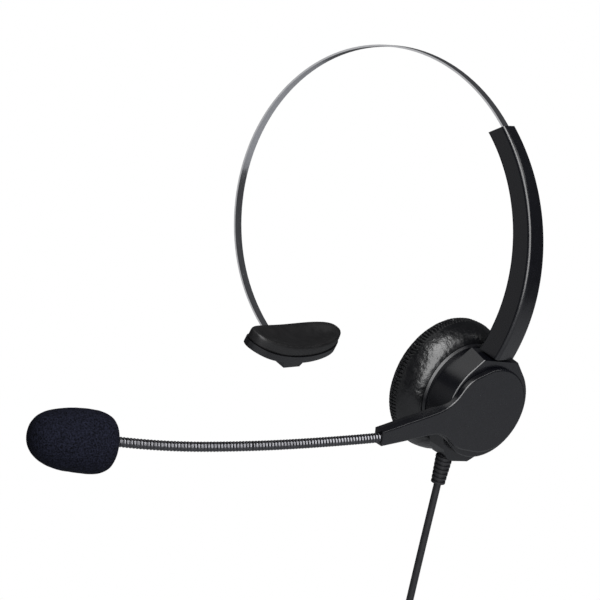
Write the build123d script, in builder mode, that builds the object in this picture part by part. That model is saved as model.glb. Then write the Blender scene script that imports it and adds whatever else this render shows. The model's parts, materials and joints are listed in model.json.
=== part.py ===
from build123d import *
import os
from math import copysign, cos, pi, radians, sin, tan

# Office headset for one ear. Millimetres, +Z up. The origin is the crown: the underside of
# the steel strip where it rests on the top of the head. +X points to the ear with the
# earphone, and the wearer faces -Y.

# ---- Headband strip -----------------------------------------------------------------------
BAND_R = 76.0  # inner radius of the strip over the head
STRIP_T = 0.8
STRIP_W = 4.3
STRIP_EAR_END = 106.0  # angles along the band are measured from the crown
STRIP_FLAT_START = -95.0  # beyond here the strip bends a little tighter
TIGHT_R = 70.0  # middle radius of the tighter stretch
STRIP_PAD_END = -141.0

# ---- Size adjustment ----------------------------------------------------------------------
SLIDE_TRAVEL = 22.0  # degrees that the arm slides down the strip
STOP_START = 101.0
STOP_R = (74.9, 77.9)
STOP_W = 7.6
RIVET_R = 0.6
RIVET_ANGLES = (102.4, 104.6)

# ---- Temple pad ---------------------------------------------------------------------------
PAD_ANGLE = -137.0  # where the middle of its face lies
PAD_FACE_R = 65.0
PAD_LEAN = 11.0  # the face leans up from square to the band
PAD_BEND_R = 125.0
PAD_L = 58.0
PAD_H = 18.6
PAD_CUSHION_T = 5.0
PAD_CARRIER_T = 3.0
PAD_BOSS_T = 5.0
PAD_FULLNESS = 2.4  # exponent of the outline's superellipse
PAD_STEPS = 12
PAD_REACH = 20.0
PAD_CARRIER_LIP = 0.5  # how far the carrier stands out around the cushion
PAD_PIN_ANGLE = -143.2
PAD_PIN_R = 0.8
PAD_PIN_L = 10.6
BOSS_BASE = 9.0
BOSS_TOP = 5.6
BOSS_SINK = 0.6
BOSS_H = 11.6
BOSS_CAVITY_R = 1.95
BOSS_SIDE_CLEAR = 0.25
# Room for the lug and the strip while the pad rocks: (length, thickness, width) from the pin.
ROCK_SLOTS = ((6.8, 2.5, 6.1), (19.0, 1.7, 5.1))
ROCK_STEPS = (0.0, 3.2, 6.4, 9.6, 12.4)
LUG_W = 5.6
LUG_BARREL_R = 1.6
LUG_TAIL_R = (TIGHT_R - 0.9, TIGHT_R + 0.9)
LUG_SLOT_R = (TIGHT_R - STRIP_T / 2, TIGHT_R + STRIP_T / 2)
LUG_TAIL_START = -138.6

# ---- Arm ----------------------------------------------------------------------------------
ARM_INNER = ((56.3, 70.4), (93.0, 71.3), (131.2, 74.4))  # (angle, radius) of the inner edge
ARM_OUTER = ((57.9, 78.6), (93.0, 80.2), (129.7, 84.2))
ARM_W_TOP = 8.5
ARM_W_LOW = 13.2
COVER_W = 5.4
CHAMBER_W = 8.2
CHAMBER_R = (74.6, 78.2)
PASSAGE_R = (75.8, 77.0)
PASSAGE_W = 4.7
COVER_ANGLES = (60.0, 114.0)
SPRING_ANGLES = (68.0, 77.0)
SPRING_POCKET_R = (77.0, 77.9)
SPRING_W = 3.6
SPRING_T = 0.25
STOP_SLACK = 0.2
ARM_SCREW_ANGLE = 110.5
ARM_SCREW_HEAD_R = 72.9
ARM_SCREW = (1.7, 0.9, 0.8, 4.2)  # head radius and height, shank radius, length
ARM_OUTER_ROUND = 1.6
ARM_INNER_ROUND = 0.8

# ---- Cup hinge ----------------------------------------------------------------------------
HINGE_ANGLE = 126.0
HINGE_R = 79.3
HINGE_PIN_R = 1.0
HINGE_PIN_Y = (-5.0, 6.4)
PIN_RUN_CLEAR = 0.05
SLOT_R = 4.2
SLOT_HALF = (3.4, 3.9)
SLOT_SIDE_CLEAR = 0.3
TONGUE_W = 6.0
TONGUE_END_R = 3.3
TONGUE_HALF = 2.2
TONGUE_ROOT = 9.0
NECK_GAP = 0.9  # between the arm's end and the neck, for the tilt

# ---- Ear cup ------------------------------------------------------------------------------
CUP_ORIGIN = (59.8, -4.1, -150.1)  # on the cushion's axis, level with the boom disc's outer face
CUP_TILT = 19.3  # the cup's outer face looks down by this
CUP_SWIVEL = 13.0  # and forward by this
BOOM_CENTRE = (1.0, -1.0)  # the housing and the boom turn about this point of the cup's frame
HOUSING_R = 21.8
HOUSING_FRONT = 2.7  # depths are measured inward from the boom disc's outer face
HOUSING_BACK = 16.0
HOUSING_WALL = 1.8
INNER_FRONT = HOUSING_FRONT + HOUSING_WALL
NECK_DEPTH = 10.6
NECK_POINTS = ((-4.5, 22.3), (0.4, 27.0), (6.2, 27.0))
HOUSING_ROUND = 0.8
BLOCK_DEPTHS = (5.9, 15.0)
BLOCK_LOW = -24.6
BLOCK_OUTLINE = ((17.0, -17.4), (0.6, -26.0), (-8.2, -25.2), (-11.6, -23.8), (-14.4, -19.6), (-18.6, -8.0),
                 (0, 0))
CUP_SCREW_R = 16.0
CUP_SCREW_START = 30.0
CUP_BOSS_R = 1.7
CUP_SCREW_SHANK_R = 0.8
CUP_SCREW_L = 6.0
CUP_SCREW_HEAD_R = 1.5
CUP_SCREW_HEAD_H = 1.0
SEAT_BORE_R = 12.4
MAGNET_BACK = 15.4
MAGNET_R = 8.0
MAGNET_T = 3.0
BOARD_DEPTH = 9.6
BOARD_T = 1.0
BOARD_SIZE = (18.0, 9.0)
BOARD_ROUND = 1.5
BOARD_UP = -6.5  # its middle, below the cushion's axis
CONE_T = 0.25
FLANGE_R = 22.2
BACK_PLATE_T = 0.6  # closes the housing where it stands out past the flange
FLANGE_BACK = 18.0
DRIVER_R = 13.4
GRILLE_R = 18.9
GRILLE_FRONT = 20.4
GRILLE_T = 1.4
GRILLE_PITCH = 4.2
GRILLE_ROWS = 5
GRILLE_HOLE_R = 0.9
GRILLE_RIM = 1.0
SCRIM_T = 0.8
CUSHION_R = 28.9
CUSHION_BACK = 32.4
RECESS_R = 14.4

# ---- Boom ---------------------------------------------------------------------------------
DISC_R = 18.5
PLATE_T = 2.4
BOOM_ARM_DEPTH = 5.2
BOOM_SPLIT = 3.4
BOOM_ROUND = 0.8
ARM_RAMP_R = (22.8, 29.0)  # between these radii the boom arm grows from thin to thick
# The arm's outline, upper edge towards the tip and lower edge back, around the disc.
DISC_ARC = (-105.0, 217.0)  # start and size of the disc's round stretch
BOOM_TOP = ((-11.6, 13.9), (-16.4, 9.9), (-19.3, 5.6), (-22.8, 2.5), (-29.4, -0.1), (-42.4, -3.2),
            (-55.8, -6.5))
BOOM_LOW = ((-54.7, -12.9), (-40.2, -11.2), (-29.8, -9.9), (-24.5, -9.9), (-20.5, -11.3), (-16.2, -14.4),
            (-11.0, -17.2))
ROOT_L = 9.0
TRENCH_R = 1.2
TRENCH_FRONT = 1.6
HUB_BACK = 7.0
WASHER_GAP = 0.1
WASHER_BACK = 5.3
WASHER_R = 7.0
CLIP_R = 6.2
CLIP_T = 1.0
HUB_R = 4.4
HUB_BORE_R = 1.6
SOCKET = (-57.0, -10.0, -2.6)  # where the gooseneck leaves the boom arm, in the cup's frame

# ---- Gooseneck and microphone -------------------------------------------------------------
NECK_TUBE_R = 2.0
NECK_SEGMENT_L = 38.6
NECK_YAW = (17.0, 20.0, 23.5, 27.0)  # direction at each segment's ends, inward from -Y
NECK_RISE = (-1.0, 0.2, 2.6, 8.8)  # and upward
NECK_GAP_L = 0.5
MIC_BARREL_R = 4.5
MIC_BARREL_L = 17.0
CAPSULE_R = 3.0
CAPSULE_L = 2.8
FOAM_L = 34.2
FOAM_R = 12.3
FOAM_DROP = 1.3  # the foam hangs a little below the barrel's axis

# ---- Cord and plug ------------------------------------------------------------------------
CORD_D = 3.2
RELIEF_X = -9.0
RELIEF_DEPTH = 10.0
RELIEF_TOP = -21.6
RELIEF_END = -36.5
RELIEF_R = (3.6, 3.1)
RELIEF_NECK_R = 2.6
RELIEF_ROOT = 4.0
RELIEF_BORE_TOP = -10.0
COLLAR_CLEAR = 0.05
RELIEF_COLLAR = 3.8
RELIEF_RIBS = 6
COIL_R = 17.6
COIL_SECTION = 12.8
COIL_CORNER = 3.0
TIE_ANGLE = 26.0
TIE_T = 0.9
PLUG_PIN_R = 1.75
PLUG_PIN_L = 14.0
PLUG_BARREL_R = 3.3
PLUG_BARREL_L = 22.0
PLUG_SLEEVE_R = 2.3
PLUG_SLEEVE_L = 6.5
PLUG_GROOVE = (3.4, 1.15)  # where the tip's groove starts, from its end, and its radius
PLUG_TIP = (1.5, 1.6, 0.5)  # the tip's widest place, its radius there and at the end
PLUG_RINGS = (3.0, 6.4, 9.8)
PLUG_RING_L = 0.6
PLUG_CORE_R = 1.2
ROUTE = ((36.825, -8.032, -181.244), (23.5, -5.0, -221.0), (13.5, -3.5, -262.0), (10.0, -3.0, -292.0))
TAIL = ((10.0, -5.5, -296.0), (9.6, -6.0, -312.0), (10.4, -6.6, -328.0))

os.makedirs("parts", exist_ok=True)


def save(piece, label):
    """Names a finished sub-part and writes it."""
    piece.part.label = label
    export_step(piece.part, f"parts/{label}.step")


def turned(angle):
    """The direction at an angle from straight up towards +X, in the side view."""
    return Vector(sin(radians(angle)), cos(radians(angle)))


def on_band(angle, radius):
    """A side-view point at an angle and a radius about the band's centre."""
    return Vector(0, -BAND_R) + turned(angle) * radius


def side(point, y=0.0):
    """A side-view point as a point in space."""
    return Vector(point.X, y, point.Y)


def ring_sector(centre, radii, start, end):
    """The side-view face between two radii and two angles."""
    with BuildSketch() as sector:
        with BuildLine():
            inner = CenterArc(centre, radii[0], 90 - end, end - start)
            outer = CenterArc(centre, radii[1], 90 - end, end - start)
            Line(inner @ 0, outer @ 0)
            Line(inner @ 1, outer @ 1)
        make_face()
    return sector.sketch


BAND_CENTRE = Vector(0, -BAND_R)
STRIP_MID_R = BAND_R + STRIP_T / 2
TIGHT_CENTRE = BAND_CENTRE + turned(STRIP_FLAT_START) * (STRIP_MID_R - TIGHT_R)
HINGE = on_band(HINGE_ANGLE, HINGE_R)
PAD_PIN = TIGHT_CENTRE + turned(PAD_PIN_ANGLE) * TIGHT_R

cup_out = Vector(
    cos(radians(CUP_TILT)) * cos(radians(CUP_SWIVEL)),
    -cos(radians(CUP_TILT)) * sin(radians(CUP_SWIVEL)),
    -sin(radians(CUP_TILT)),
)
cup_rear = Vector(sin(radians(CUP_SWIVEL)), cos(radians(CUP_SWIVEL)), 0)
# The cup's frame: x to the rear, y up, z out of the head.
CUP = Plane(origin=CUP_ORIGIN, x_dir=cup_rear, z_dir=cup_out)
# Its turned pieces are drawn as (radius, -depth).
CUP_PROFILE = Plane(origin=CUP_ORIGIN, x_dir=CUP.y_dir, z_dir=CUP.x_dir)
CUP_AXIS = Axis(CUP_ORIGIN, cup_out)
BOOM_ORIGIN = CUP.from_local_coords((*BOOM_CENTRE, 0))
BOOM_PROFILE = Plane(origin=BOOM_ORIGIN, x_dir=CUP.y_dir, z_dir=CUP.x_dir)
BOOM_AXIS = Axis(BOOM_ORIGIN, cup_out)


def at_depth(depth):
    """The cup's plane at a depth inward from the boom disc's face."""
    return CUP.offset(-depth)


def cup_disc(radius, front, back, bore=0.0, centre=(0, 0)):
    """A turned disc or ring about a point of the cup's frame, between two depths."""
    with BuildPart() as disc:
        with BuildSketch(at_depth(back)):
            with Locations(centre):
                Circle(radius)
                if bore:
                    Circle(bore, mode=Mode.SUBTRACT)
        extrude(amount=back - front)
    return disc.part


# ======================= Headband: strip, end stop, rivets, lug ============================
with BuildPart() as headband_strip:
    with BuildSketch(Plane.XZ):
        with BuildLine():
            sweep_main = STRIP_EAR_END - STRIP_FLAT_START
            sweep_tight = STRIP_FLAT_START - STRIP_PAD_END
            ends = []
            for shift in (-STRIP_T / 2, STRIP_T / 2):
                main = CenterArc(BAND_CENTRE, STRIP_MID_R + shift, 90 - STRIP_EAR_END, sweep_main)
                tight = CenterArc(TIGHT_CENTRE, TIGHT_R + shift, 90 - STRIP_FLAT_START, sweep_tight)
                ends.append((main @ 0, tight @ 1))
            Line(ends[0][0], ends[1][0])
            Line(ends[0][1], ends[1][1])
        make_face()
    extrude(amount=STRIP_W / 2, both=True)
    for angle in RIVET_ANGLES:
        with BuildSketch(Plane(origin=side(on_band(angle, BAND_R - 1)), z_dir=side(turned(angle)))):
            Circle(RIVET_R)
        extrude(amount=3, mode=Mode.SUBTRACT)
save(headband_strip, "headband_strip")

with BuildPart() as strip_end_stop:
    with BuildSketch(Plane.XZ):
        add(ring_sector(BAND_CENTRE, STOP_R, STOP_START, STRIP_EAR_END))
    extrude(amount=STOP_W / 2, both=True)
    with BuildSketch(Plane.XZ):
        add(ring_sector(BAND_CENTRE, (BAND_R, BAND_R + STRIP_T), STOP_START - 1, STRIP_EAR_END + 1))
    extrude(amount=STRIP_W / 2, both=True, mode=Mode.SUBTRACT)
    for angle in RIVET_ANGLES:
        with BuildSketch(Plane(origin=side(on_band(angle, STOP_R[0] - 1)), z_dir=side(turned(angle)))):
            Circle(RIVET_R)
        extrude(amount=6, mode=Mode.SUBTRACT)
save(strip_end_stop, "strip_end_stop")

with BuildPart() as end_stop_rivets:
    for angle in RIVET_ANGLES:
        with BuildSketch(Plane(origin=side(on_band(angle, STOP_R[0] + 0.1)), z_dir=side(turned(angle)))):
            Circle(RIVET_R)
        extrude(amount=STOP_R[1] - STOP_R[0] - 0.2)
save(end_stop_rivets, "end_stop_rivets")

with BuildPart() as temple_lug:
    with BuildSketch(Plane.XZ):
        add(ring_sector(TIGHT_CENTRE, LUG_TAIL_R, PAD_PIN_ANGLE, LUG_TAIL_START))
        with Locations(PAD_PIN):
            Circle(LUG_BARREL_R)
            Circle(PAD_PIN_R + PIN_RUN_CLEAR, mode=Mode.SUBTRACT)
    extrude(amount=LUG_W / 2, both=True)
    with BuildSketch(Plane.XZ):
        add(ring_sector(TIGHT_CENTRE, LUG_SLOT_R, STRIP_PAD_END, LUG_TAIL_START + 1))
    extrude(amount=STRIP_W / 2, both=True, mode=Mode.SUBTRACT)
save(temple_lug, "temple_lug")

# ======================= Temple pad: carrier, cushion, pin =================================
PAD_NORMAL = side(turned(PAD_ANGLE - PAD_LEAN)) * -1  # towards the head
PAD = Plane(origin=side(on_band(PAD_ANGLE, PAD_FACE_R)), x_dir=(0, 1, 0), z_dir=PAD_NORMAL)
PAD_SIDE = Plane(origin=PAD.origin, x_dir=PAD.x_dir, z_dir=PAD.y_dir * -1)
pin_in_pad = PAD.to_local_coords(side(PAD_PIN))


def pad_layer(near, far, shrink=0.0):
    """The curved slab between two depths behind the pad's face, cut to the pad's outline."""
    half_l = PAD_L / 2 - shrink
    half_h = PAD_H / 2 - shrink
    rim = []
    for step in range(PAD_STEPS):
        angle = 2 * pi * step / PAD_STEPS
        reach_l = half_l * abs(cos(angle)) ** (2 / PAD_FULLNESS)
        reach_h = half_h * abs(sin(angle)) ** (2 / PAD_FULLNESS)
        rim.append((copysign(reach_l, cos(angle)), copysign(reach_h, sin(angle))))
    with BuildPart() as layer:
        with BuildSketch(PAD.offset(-PAD_REACH)):
            with BuildLine():
                Spline(*rim, periodic=True)
            make_face()
        extrude(amount=2 * PAD_REACH)
        with BuildSketch(PAD_SIDE):
            with Locations((0, PAD_BEND_R)):
                Circle(PAD_BEND_R + far)
                Circle(PAD_BEND_R + near, mode=Mode.SUBTRACT)
        extrude(amount=PAD_H, both=True, mode=Mode.INTERSECT)
    return layer.part


with BuildPart() as temple_cushion:
    add(pad_layer(0, PAD_CUSHION_T))
save(temple_cushion, "temple_cushion")

with BuildPart() as temple_carrier:
    add(pad_layer(PAD_CUSHION_T, PAD_CUSHION_T + PAD_CARRIER_T, -PAD_CARRIER_LIP))
    with BuildSketch(PAD_SIDE):
        with BuildLine():
            base = -PAD_CUSHION_T - PAD_CARRIER_T + BOSS_SINK
            top = -PAD_CUSHION_T - PAD_CARRIER_T - PAD_BOSS_T
            Polyline((-BOSS_BASE, base), (-BOSS_TOP, top), (BOSS_TOP, top), (BOSS_BASE, base), close=True)
        make_face()
    extrude(amount=BOSS_H / 2, both=True)
    with BuildSketch(Plane(origin=PAD.origin, x_dir=PAD.y_dir * -1, z_dir=PAD.x_dir)):
        with Locations((-pin_in_pad.Y, -pin_in_pad.Z)):
            Circle(BOSS_CAVITY_R)
        with Locations((-pin_in_pad.Y - BOSS_H / 2, -pin_in_pad.Z)):
            Rectangle(BOSS_H, 2 * BOSS_CAVITY_R)
    extrude(amount=LUG_W / 2 + BOSS_SIDE_CLEAR, both=True, mode=Mode.SUBTRACT)
    for length, thickness, width in ROCK_SLOTS:
        with BuildSketch(Plane.XZ):
            for rock in ROCK_STEPS:
                strip_way = turned(PAD_PIN_ANGLE + 90 + rock)
                with Locations(PAD_PIN + strip_way * (length / 2)):
                    Rectangle(length, thickness, rotation=-PAD_PIN_ANGLE - rock)
        extrude(amount=width / 2, both=True, mode=Mode.SUBTRACT)
    with BuildSketch(Plane.XZ):
        with Locations(PAD_PIN):
            Circle(PAD_PIN_R)
    extrude(amount=PAD_PIN_L / 2, both=True, mode=Mode.SUBTRACT)
save(temple_carrier, "temple_carrier")

with BuildPart() as temple_pin:
    with BuildSketch(Plane.XZ):
        with Locations(PAD_PIN):
            Circle(PAD_PIN_R)
    extrude(amount=PAD_PIN_L / 2, both=True)
save(temple_pin, "temple_pin")

# ======================= Arm: shell, cover, screw, spring, hinge pin =======================
ARM_TOP_Z = on_band(*ARM_OUTER[0]).Y
ARM_LOW_Z = on_band(*ARM_OUTER[2]).Y
STOP_END = STOP_START - SLIDE_TRAVEL - STOP_SLACK  # top of the chamber that the stop travels in
CHAMBER_END = STRIP_EAR_END + STOP_SLACK
hinge_down = Vector(turned(HINGE_ANGLE).Y, -turned(HINGE_ANGLE).X)  # along the band, towards the cup
hinge_out = turned(HINGE_ANGLE)

with BuildPart() as arm_block:
    with BuildSketch(Plane.XZ):
        with BuildLine():
            inner = ThreePointArc(*(on_band(*spot) for spot in ARM_INNER))
            outer = ThreePointArc(*(on_band(*spot) for spot in ARM_OUTER))
            Line(inner @ 0, outer @ 0)
            Line(inner @ 1, outer @ 1)
        make_face()
    extrude(amount=ARM_W_LOW / 2, both=True)
    with BuildSketch(Plane.YZ.offset(40)):
        with BuildLine():
            Polyline(
                (-ARM_W_TOP / 2, ARM_TOP_Z + 3), (ARM_W_TOP / 2, ARM_TOP_Z + 3),
                (ARM_W_LOW / 2, ARM_LOW_Z - 3), (-ARM_W_LOW / 2, ARM_LOW_Z - 3), close=True,
            )
        make_face()
    extrude(amount=60, mode=Mode.INTERSECT)
    long_edges = [edge for edge in arm_block.edges() if edge.length > 60]
    outer_edges = [edge for edge in long_edges if edge.center().X > 76]
    inner_edges = [edge for edge in long_edges if edge.center().X <= 76]
    fillet(outer_edges, ARM_OUTER_ROUND)
    fillet(inner_edges, ARM_INNER_ROUND)

with BuildPart() as arm_pocket:
    with BuildSketch(Plane.XZ):
        add(ring_sector(BAND_CENTRE, (60, PASSAGE_R[0]), COVER_ANGLES[0], STOP_END))
    extrude(amount=COVER_W / 2, both=True)
    with BuildSketch(Plane.XZ):
        add(ring_sector(BAND_CENTRE, (60, CHAMBER_R[0]), STOP_END, COVER_ANGLES[1]))
    extrude(amount=CHAMBER_W / 2, both=True)

screw_spot = on_band(ARM_SCREW_ANGLE, ARM_SCREW_HEAD_R)
ARM_SCREW_PLANE = Plane(origin=side(screw_spot), z_dir=side(turned(ARM_SCREW_ANGLE)))


def countersunk_screw(plane, head_r, head_h, shank_r, length):
    """A flat-headed screw that points along a plane's normal, with its head at the plane."""
    with BuildPart() as screw:
        with BuildSketch(Plane(origin=plane.origin, x_dir=plane.x_dir, z_dir=plane.y_dir)):
            with BuildLine():
                Polyline(
                    (0, 0), (head_r, 0), (shank_r, -head_h), (shank_r, -length), (0, -length), close=True
                )
            make_face()
        revolve(axis=Axis(plane.origin, plane.z_dir))
    return screw.part


arm_screw_body = countersunk_screw(ARM_SCREW_PLANE, *ARM_SCREW)

with BuildPart() as arm_shell:
    add(arm_block.part)
    add(arm_pocket.part, mode=Mode.SUBTRACT)
    with BuildSketch(Plane.XZ):
        add(ring_sector(BAND_CENTRE, PASSAGE_R, ARM_INNER[0][0] - 3, STOP_END))
    extrude(amount=PASSAGE_W / 2, both=True, mode=Mode.SUBTRACT)
    with BuildSketch(Plane.XZ):
        add(ring_sector(BAND_CENTRE, CHAMBER_R, STOP_END, CHAMBER_END))
    extrude(amount=CHAMBER_W / 2, both=True, mode=Mode.SUBTRACT)
    with BuildSketch(Plane.XZ):
        add(ring_sector(BAND_CENTRE, SPRING_POCKET_R, *SPRING_ANGLES))
    extrude(amount=SPRING_W / 2, both=True, mode=Mode.SUBTRACT)
    with BuildSketch(Plane.XZ):
        with Locations(HINGE):
            Circle(SLOT_R)
        with BuildLine():
            mouth = HINGE + hinge_down * 12
            Polyline(
                HINGE - hinge_out * SLOT_HALF[0], mouth - hinge_out * SLOT_HALF[1],
                mouth + hinge_out * SLOT_HALF[1], HINGE + hinge_out * SLOT_HALF[0], close=True,
            )
        make_face()
    extrude(amount=TONGUE_W / 2 + SLOT_SIDE_CLEAR, both=True, mode=Mode.SUBTRACT)
    with BuildSketch(Plane.XZ.offset(-HINGE_PIN_Y[1])):
        with Locations(HINGE):
            Circle(HINGE_PIN_R)
    extrude(amount=HINGE_PIN_Y[1] - HINGE_PIN_Y[0], mode=Mode.SUBTRACT)
    add(arm_screw_body, mode=Mode.SUBTRACT)
save(arm_shell, "arm_shell")

with BuildPart() as arm_cover:
    add(arm_block.part)
    add(arm_pocket.part, mode=Mode.INTERSECT)
    add(arm_screw_body, mode=Mode.SUBTRACT)
save(arm_cover, "arm_cover")

with BuildPart() as arm_screw:
    add(arm_screw_body)
save(arm_screw, "arm_screw")

with BuildPart() as detent_spring:
    with BuildSketch(Plane.XZ):
        leaf_r = SPRING_POCKET_R[0] + 0.05
        add(ring_sector(BAND_CENTRE, (leaf_r, leaf_r + SPRING_T), *SPRING_ANGLES))
        for start in (SPRING_ANGLES[0], SPRING_ANGLES[1] - 1):
            add(ring_sector(BAND_CENTRE, (leaf_r, SPRING_POCKET_R[1]), start, start + 1))
    extrude(amount=SPRING_W / 2, both=True)
save(detent_spring, "detent_spring")

with BuildPart() as cup_hinge_pin:
    with BuildSketch(Plane.XZ.offset(-HINGE_PIN_Y[1])):
        with Locations(HINGE):
            Circle(HINGE_PIN_R)
    extrude(amount=HINGE_PIN_Y[1] - HINGE_PIN_Y[0])
save(cup_hinge_pin, "cup_hinge_pin")

# ======================= Ear cup: housing and what it holds ================================
with BuildPart() as cup_housing:
    add(cup_disc(HOUSING_R, HOUSING_FRONT, HOUSING_BACK, centre=BOOM_CENTRE))
    with BuildSketch(at_depth(HOUSING_FRONT + NECK_DEPTH)):
        with BuildLine():
            CenterArc(BOOM_CENTRE, HOUSING_R, 0, 360)
            Polyline(*NECK_POINTS)
        make_hull()
    extrude(amount=NECK_DEPTH)
    with BuildSketch(at_depth(BLOCK_DEPTHS[1])):
        with BuildLine():
            Polyline(*BLOCK_OUTLINE, close=True)
        make_face()
    extrude(amount=BLOCK_DEPTHS[1] - BLOCK_DEPTHS[0])
    front_edges = cup_housing.faces().sort_by(CUP_AXIS)[-1].edges()
    fillet(front_edges, HOUSING_ROUND)
    with BuildSketch(Plane.XZ):
        with BuildLine():
            low_in = on_band(*ARM_INNER[2])
            low_out = on_band(*ARM_OUTER[2])
            along = (low_out - low_in).normalized()
            down = Vector(along.Y, -along.X)
            cut_in = low_in - along * 20 + down * NECK_GAP
            cut_out = low_out + along * 20 + down * NECK_GAP
            Polyline(cut_in, cut_out, cut_out - down * 20, cut_in - down * 20, close=True)
        make_face()
    extrude(amount=20, both=True, mode=Mode.SUBTRACT)
    with BuildSketch(Plane.XZ):
        with Locations(HINGE):
            Circle(TONGUE_END_R)
        with BuildLine():
            root = HINGE + hinge_down * TONGUE_ROOT
            Polyline(
                HINGE - hinge_out * TONGUE_HALF, root - hinge_out * TONGUE_HALF,
                root + hinge_out * TONGUE_HALF, HINGE + hinge_out * TONGUE_HALF, close=True,
            )
        make_face()
    extrude(amount=TONGUE_W / 2, both=True)
    with BuildSketch(Plane.XZ):
        with Locations(HINGE):
            Circle(HINGE_PIN_R + PIN_RUN_CLEAR)
    extrude(amount=TONGUE_W, both=True, mode=Mode.SUBTRACT)
    add(cup_disc(HOUSING_R - HOUSING_WALL, INNER_FRONT, HOUSING_BACK, 0, BOOM_CENTRE), mode=Mode.SUBTRACT)
    with BuildSketch(at_depth(HOUSING_BACK)):
        with PolarLocations(CUP_SCREW_R, 3, start_angle=CUP_SCREW_START):
            Circle(CUP_BOSS_R)
    extrude(amount=HOUSING_BACK - INNER_FRONT)
    with BuildSketch(at_depth(HOUSING_BACK)):
        with PolarLocations(CUP_SCREW_R, 3, start_angle=CUP_SCREW_START):
            Circle(CUP_SCREW_SHANK_R)
    extrude(amount=CUP_SCREW_L, mode=Mode.SUBTRACT)
    add(cup_disc(HUB_R + PIN_RUN_CLEAR, HOUSING_FRONT, INNER_FRONT, 0, BOOM_CENTRE), mode=Mode.SUBTRACT)
    for socket_top, socket_r in ((RELIEF_BORE_TOP, RELIEF_NECK_R), (BLOCK_LOW, RELIEF_R[0] + COLLAR_CLEAR)):
        socket_origin = CUP.from_local_coords((RELIEF_X, socket_top, -RELIEF_DEPTH))
        with BuildSketch(Plane(origin=socket_origin, z_dir=CUP.y_dir * -1)):
            Circle(socket_r)
        extrude(amount=HOUSING_R, mode=Mode.SUBTRACT)
save(cup_housing, "cup_housing")

with BuildPart() as cup_body:
    with BuildSketch(CUP_PROFILE):
        with BuildLine():
            Polyline(
                (SEAT_BORE_R, -FLANGE_BACK), (FLANGE_R, -FLANGE_BACK), (FLANGE_R, -HOUSING_BACK - 0.7),
                (FLANGE_R - 0.9, -HOUSING_BACK), (SEAT_BORE_R, -HOUSING_BACK), close=True,
            )
        make_face()
    revolve(axis=CUP_AXIS)
    add(cup_disc(HOUSING_R, HOUSING_BACK, HOUSING_BACK + BACK_PLATE_T, centre=BOOM_CENTRE))
    add(cup_disc(SEAT_BORE_R, HOUSING_BACK, HOUSING_BACK + BACK_PLATE_T), mode=Mode.SUBTRACT)
    with BuildSketch(at_depth(FLANGE_BACK)):
        with PolarLocations(CUP_SCREW_R, 3, start_angle=CUP_SCREW_START):
            Circle(CUP_SCREW_SHANK_R)
    extrude(amount=FLANGE_BACK - HOUSING_BACK, mode=Mode.SUBTRACT)
save(cup_body, "cup_body")

with BuildPart() as cup_screws:
    with BuildSketch(at_depth(FLANGE_BACK)):
        with PolarLocations(CUP_SCREW_R, 3, start_angle=CUP_SCREW_START):
            Circle(CUP_SCREW_SHANK_R)
    extrude(amount=FLANGE_BACK - HOUSING_BACK + CUP_SCREW_L - 0.2)
    with BuildSketch(at_depth(FLANGE_BACK + CUP_SCREW_HEAD_H)):
        with PolarLocations(CUP_SCREW_R, 3, start_angle=CUP_SCREW_START):
            Circle(CUP_SCREW_HEAD_R)
    extrude(amount=CUP_SCREW_HEAD_H)
save(cup_screws, "cup_screws")

with BuildPart() as speaker_driver:
    with BuildSketch(CUP_PROFILE):
        with BuildLine():
            Polyline(
                (7.4, -MAGNET_BACK), (9.0, -MAGNET_BACK), (SEAT_BORE_R - 0.3, -HOUSING_BACK - 0.4),
                (SEAT_BORE_R - 0.3, -FLANGE_BACK), (DRIVER_R, -FLANGE_BACK), (DRIVER_R, -GRILLE_FRONT + 0.6),
                (DRIVER_R - 1.2, -GRILLE_FRONT + 0.6), (DRIVER_R - 1.8, -FLANGE_BACK - 0.6),
                (SEAT_BORE_R - 1.3, -FLANGE_BACK - 0.6), (8.2, -MAGNET_BACK - 0.9), (7.4, -MAGNET_BACK - 0.9),
                close=True,
            )
        make_face()
    revolve(axis=CUP_AXIS)
save(speaker_driver, "speaker_driver")

with BuildPart() as speaker_magnet:
    add(cup_disc(MAGNET_R, MAGNET_BACK - MAGNET_T, MAGNET_BACK))
save(speaker_magnet, "speaker_magnet")

with BuildPart() as speaker_cone:
    add(cup_disc(DRIVER_R - 1.9, FLANGE_BACK + 0.7, FLANGE_BACK + 0.7 + CONE_T))
save(speaker_cone, "speaker_cone")

with BuildPart() as terminal_board:
    with BuildSketch(at_depth(BOARD_DEPTH + BOARD_T)):
        with Locations((0, BOARD_UP)):
            RectangleRounded(*BOARD_SIZE, BOARD_ROUND)
    extrude(amount=BOARD_T)
save(terminal_board, "terminal_board")

with BuildPart() as baffle_grille:
    add(cup_disc(GRILLE_R, GRILLE_FRONT, GRILLE_FRONT + GRILLE_T))
    add(cup_disc(GRILLE_R, FLANGE_BACK, GRILLE_FRONT, GRILLE_R - GRILLE_RIM))
    with BuildSketch(at_depth(GRILLE_FRONT + GRILLE_T)):
        with GridLocations(GRILLE_PITCH, GRILLE_PITCH, GRILLE_ROWS, GRILLE_ROWS):
            Circle(GRILLE_HOLE_R)
    extrude(amount=GRILLE_T, mode=Mode.SUBTRACT)
save(baffle_grille, "baffle_grille")

SCRIM_BACK = GRILLE_FRONT + GRILLE_T + SCRIM_T
with BuildPart() as scrim:
    add(cup_disc(RECESS_R, GRILLE_FRONT + GRILLE_T, SCRIM_BACK))
save(scrim, "scrim")

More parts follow.
